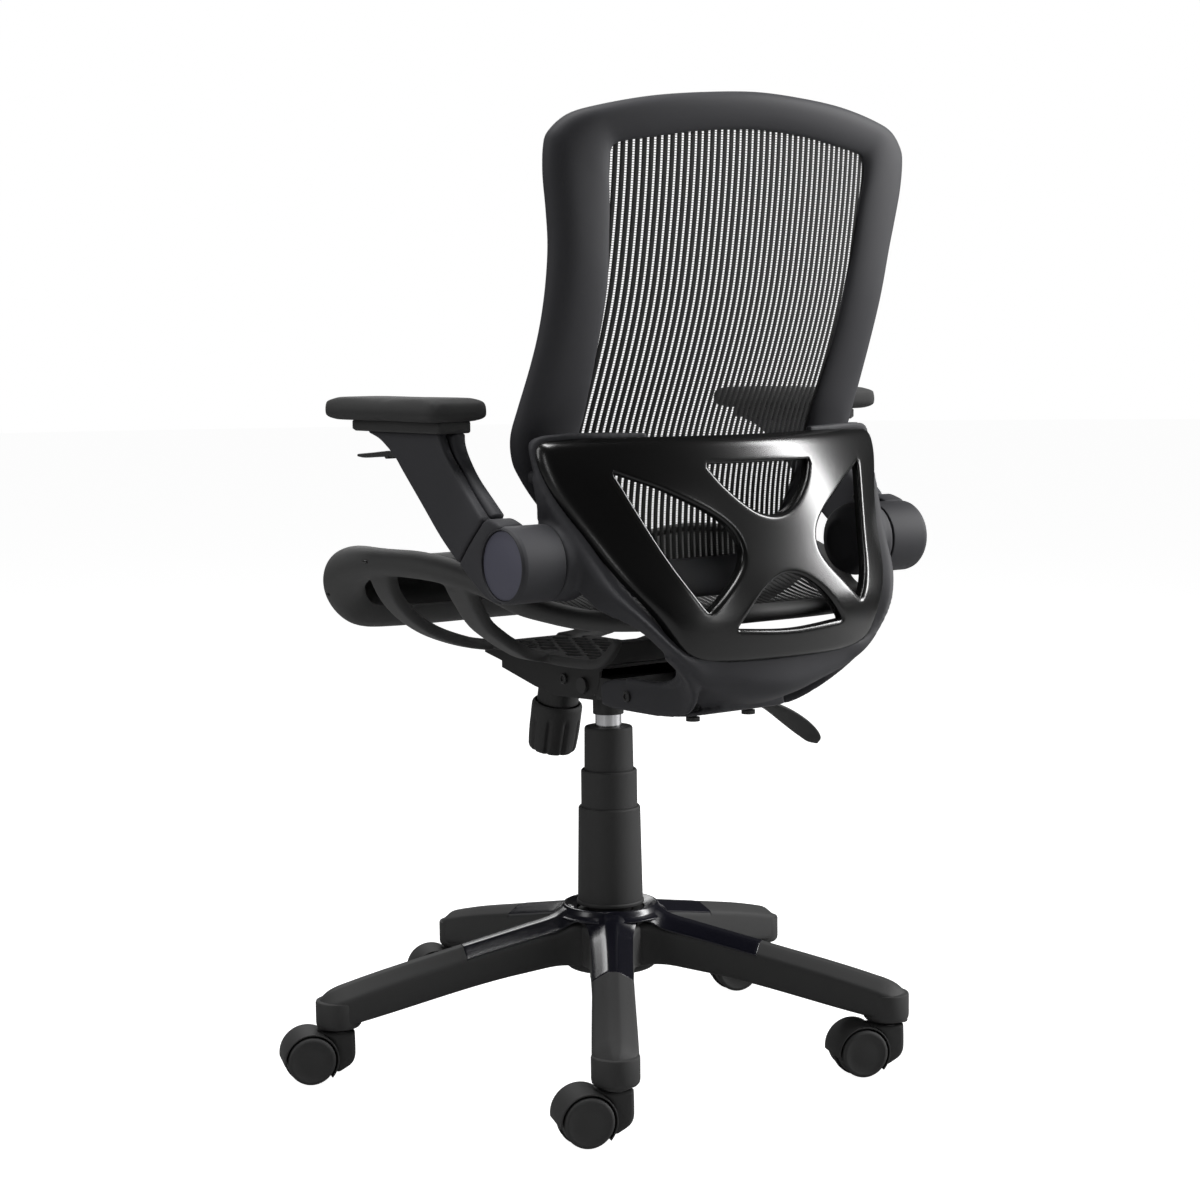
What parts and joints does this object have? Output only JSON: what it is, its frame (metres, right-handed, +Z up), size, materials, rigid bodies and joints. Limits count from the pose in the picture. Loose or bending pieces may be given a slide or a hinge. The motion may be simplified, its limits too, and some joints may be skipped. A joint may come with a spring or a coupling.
{
  "type": "swivel office chair",
  "caption": "Swivel office chair with a slung mesh seat and back, gloss lumbar cover, flip-up armrests, gas lift and a wheeled star base.",
  "frame": {"origin": "on the floor, on the column's axis", "axes": "+Z up along the column, the chair faces -Y, +X is the sitter's left"},
  "size_m": [0.661, 0.6469, 0.9975],
  "materials": {
    "base_nylon": "fine-grained satin black nylon",
    "gloss_trim": "piano black",
    "gloss_cover": "piano black",
    "black_steel": "satin black powder coat",
    "bush": "natural acetal",
    "cover_plastic": "fine matte moulded plastic",
    "chrome": "polished chrome",
    "steel": "zinc-plated steel",
    "caster_plastic": "matte moulded nylon",
    "wheel_tread": "matte nylon wheel",
    "dark_fasteners": "black oxide",
    "knob_plastic": "matte moulded plastic",
    "seat_plastic": "fine-grained matte plastic",
    "mesh": "banded elastic mesh",
    "satin_plastic": "satin moulded plastic",
    "cap_metal": "dark blue-grey metallic",
    "pad_skin": "soft grained polyurethane"
  },
  "bodies": {
    "base": {"star_base": "base_nylon", "base_trim": "gloss_trim", "outer_column": "black_steel", "guide_bush": "bush", "lower_cover": "cover_plastic", "caster_stems": "steel"},
    "caster_1": {"caster_1_hood": "caster_plastic", "caster_1_axle": "steel"},
    "caster_1_wheel_a": {"caster_1_wheel_a": "wheel_tread"},
    "caster_1_wheel_b": {"caster_1_wheel_b": "wheel_tread"},
    "caster_2": {"caster_2_hood": "caster_plastic", "caster_2_axle": "steel"},
    "caster_2_wheel_a": {"caster_2_wheel_a": "wheel_tread"},
    "caster_2_wheel_b": {"caster_2_wheel_b": "wheel_tread"},
    "caster_3": {"caster_3_hood": "caster_plastic", "caster_3_axle": "steel"},
    "caster_3_wheel_a": {"caster_3_wheel_a": "wheel_tread"},
    "caster_3_wheel_b": {"caster_3_wheel_b": "wheel_tread"},
    "caster_4": {"caster_4_hood": "caster_plastic", "caster_4_axle": "steel"},
    "caster_4_wheel_a": {"caster_4_wheel_a": "wheel_tread"},
    "caster_4_wheel_b": {"caster_4_wheel_b": "wheel_tread"},
    "caster_5": {"caster_5_hood": "caster_plastic", "caster_5_axle": "steel"},
    "caster_5_wheel_a": {"caster_5_wheel_a": "wheel_tread"},
    "caster_5_wheel_b": {"caster_5_wheel_b": "wheel_tread"},
    "turning_rod": {"piston_rod": "steel", "thrust_bearing": "steel"},
    "lift": {"gas_cylinder": "chrome", "upper_cover": "cover_plastic", "tilt_housing": "black_steel", "tilt_spring": "dark_fasteners"},
    "middle_sleeve": {"middle_cover": "cover_plastic"},
    "release": {"release_pin": "steel"},
    "knob": {"tension_knob": "knob_plastic"},
    "lever": {"lift_lever": "knob_plastic"},
    "seat": {"seat_pan": "black_steel", "pivot_pin": "steel", "seat_support": "seat_plastic", "seat_frame": "seat_plastic", "seat_mesh": "mesh", "back_bracket": "satin_plastic", "lumbar_cover": "gloss_cover", "back_frame": "satin_plastic", "back_mesh": "mesh", "seat_bolts": "dark_fasteners", "bracket_bolts": "dark_fasteners", "arm_pivots": "steel"},
    "arm_left": {"arm_hub_left": "satin_plastic", "arm_cap_left": "cap_metal"},
    "arm_top_left": {"arm_post_left": "satin_plastic", "arm_plate_left": "knob_plastic", "arm_pad_left": "pad_skin"},
    "arm_trigger_left": {"arm_lever_left": "knob_plastic"},
    "arm_right": {"arm_hub_right": "satin_plastic", "arm_cap_right": "cap_metal"},
    "arm_top_right": {"arm_post_right": "satin_plastic", "arm_plate_right": "knob_plastic", "arm_pad_right": "pad_skin"},
    "arm_trigger_right": {"arm_lever_right": "knob_plastic"}
  },
  "joints": [
    {"name": "caster_1_swivel", "type": "hinge", "parent": "base", "child": "caster_1", "pos_m": [0, -0.3012, 0.05], "axis": [0, 0, 1], "continuous": true},
    {"name": "caster_1_roll_a", "type": "hinge", "parent": "caster_1", "child": "caster_1_wheel_a", "pos_m": [0.02987, -0.31267, 0.025], "axis": [0.3584, 0.9336, 0], "continuous": true},
    {"name": "caster_1_roll_b", "type": "hinge", "parent": "caster_1", "child": "caster_1_wheel_b", "pos_m": [0.02987, -0.31267, 0.025], "axis": [0.3584, 0.9336, 0], "continuous": true},
    {"name": "caster_2_swivel", "type": "hinge", "parent": "base", "child": "caster_2", "pos_m": [0.28646, -0.09308, 0.05], "axis": [0, 0, 1], "continuous": true},
    {"name": "caster_2_roll_a", "type": "hinge", "parent": "caster_2", "child": "caster_2_wheel_a", "pos_m": [0.31633, -0.10454, 0.025], "axis": [0.3584, 0.9336, 0], "continuous": true},
    {"name": "caster_2_roll_b", "type": "hinge", "parent": "caster_2", "child": "caster_2_wheel_b", "pos_m": [0.31633, -0.10454, 0.025], "axis": [0.3584, 0.9336, 0], "continuous": true},
    {"name": "caster_3_swivel", "type": "hinge", "parent": "base", "child": "caster_3", "pos_m": [0.17704, 0.24368, 0.05], "axis": [0, 0, 1], "continuous": true},
    {"name": "caster_3_roll_a", "type": "hinge", "parent": "caster_3", "child": "caster_3_wheel_a", "pos_m": [0.20691, 0.23221, 0.025], "axis": [0.3584, 0.9336, 0], "continuous": true},
    {"name": "caster_3_roll_b", "type": "hinge", "parent": "caster_3", "child": "caster_3_wheel_b", "pos_m": [0.20691, 0.23221, 0.025], "axis": [0.3584, 0.9336, 0], "continuous": true},
    {"name": "caster_4_swivel", "type": "hinge", "parent": "base", "child": "caster_4", "pos_m": [-0.17704, 0.24368, 0.05], "axis": [0, 0, 1], "continuous": true},
    {"name": "caster_4_roll_a", "type": "hinge", "parent": "caster_4", "child": "caster_4_wheel_a", "pos_m": [-0.14717, 0.23221, 0.025], "axis": [0.3584, 0.9336, 0], "continuous": true},
    {"name": "caster_4_roll_b", "type": "hinge", "parent": "caster_4", "child": "caster_4_wheel_b", "pos_m": [-0.14717, 0.23221, 0.025], "axis": [0.3584, 0.9336, 0], "continuous": true},
    {"name": "caster_5_swivel", "type": "hinge", "parent": "base", "child": "caster_5", "pos_m": [-0.28646, -0.09308, 0.05], "axis": [0, 0, 1], "continuous": true},
    {"name": "caster_5_roll_a", "type": "hinge", "parent": "caster_5", "child": "caster_5_wheel_a", "pos_m": [-0.25658, -0.10454, 0.025], "axis": [0.3584, 0.9336, 0], "continuous": true},
    {"name": "caster_5_roll_b", "type": "hinge", "parent": "caster_5", "child": "caster_5_wheel_b", "pos_m": [-0.25658, -0.10454, 0.025], "axis": [0.3584, 0.9336, 0], "continuous": true},
    {"name": "swivel", "type": "hinge", "parent": "base", "child": "turning_rod", "pos_m": [0, 0, 0.1], "axis": [0, 0, 1], "continuous": true},
    {"name": "height", "type": "slide", "parent": "turning_rod", "child": "lift", "axis": [0, 0, 1], "range_m": [-0.06, 0.04]},
    {"name": "sleeve_follow", "type": "slide", "parent": "turning_rod", "child": "middle_sleeve", "axis": [0, 0, 1], "range_m": [-0.03, 0.02]},
    {"name": "lift_lever_pull", "type": "hinge", "parent": "lift", "child": "lever", "pos_m": [-0.046, 0, 0.393], "axis": [0, 1, 0], "range_deg": [0, 8], "stiffness_Nm_per_rad": 4, "springref_deg": -5.73},
    {"name": "release_press", "type": "slide", "parent": "lift", "child": "release", "axis": [0, 0, -1], "range_m": [0, 0.007]},
    {"name": "tension_turn", "type": "hinge", "parent": "lift", "child": "knob", "pos_m": [0, -0.098, 0.35], "axis": [0, -0.225, -0.9744], "continuous": true},
    {"name": "tilt", "type": "hinge", "parent": "lift", "child": "seat", "pos_m": [0, 0.038, 0.407], "axis": [-1, 0, 0], "range_deg": [0, 15], "stiffness_Nm_per_rad": 60, "springref_deg": -20.05},
    {"name": "arm_flip_left", "type": "hinge", "parent": "seat", "child": "arm_left", "pos_m": [0.235, 0.1834, 0.5546], "axis": [-1, 0, 0], "range_deg": [0, 90]},
    {"name": "arm_height_left", "type": "slide", "parent": "arm_left", "child": "arm_top_left", "axis": [0, -0.735, 0.678], "range_m": [0, 0.06]},
    {"name": "arm_trigger_left", "type": "hinge", "parent": "arm_top_left", "child": "arm_trigger_left", "pos_m": [0.2453, -0.03, 0.652], "axis": [-1, 0, 0], "range_deg": [0, 6], "stiffness_Nm_per_rad": 0.6, "springref_deg": -11.46},
    {"name": "arm_flip_right", "type": "hinge", "parent": "seat", "child": "arm_right", "pos_m": [-0.235, 0.1834, 0.5546], "axis": [-1, 0, 0], "range_deg": [0, 90]},
    {"name": "arm_height_right", "type": "slide", "parent": "arm_right", "child": "arm_top_right", "axis": [0, -0.735, 0.678], "range_m": [0, 0.06]},
    {"name": "arm_trigger_right", "type": "hinge", "parent": "arm_top_right", "child": "arm_trigger_right", "pos_m": [-0.2453, -0.03, 0.652], "axis": [-1, 0, 0], "range_deg": [0, 6], "stiffness_Nm_per_rad": 0.6, "springref_deg": -11.46}
  ],
  "couplings": [
    {"joint": "sleeve_follow", "follows": "height", "ratio": 0.5},
    {"joint": "release_press", "follows": "lift_lever_pull", "m_per_rad": 0.048}
  ]
}
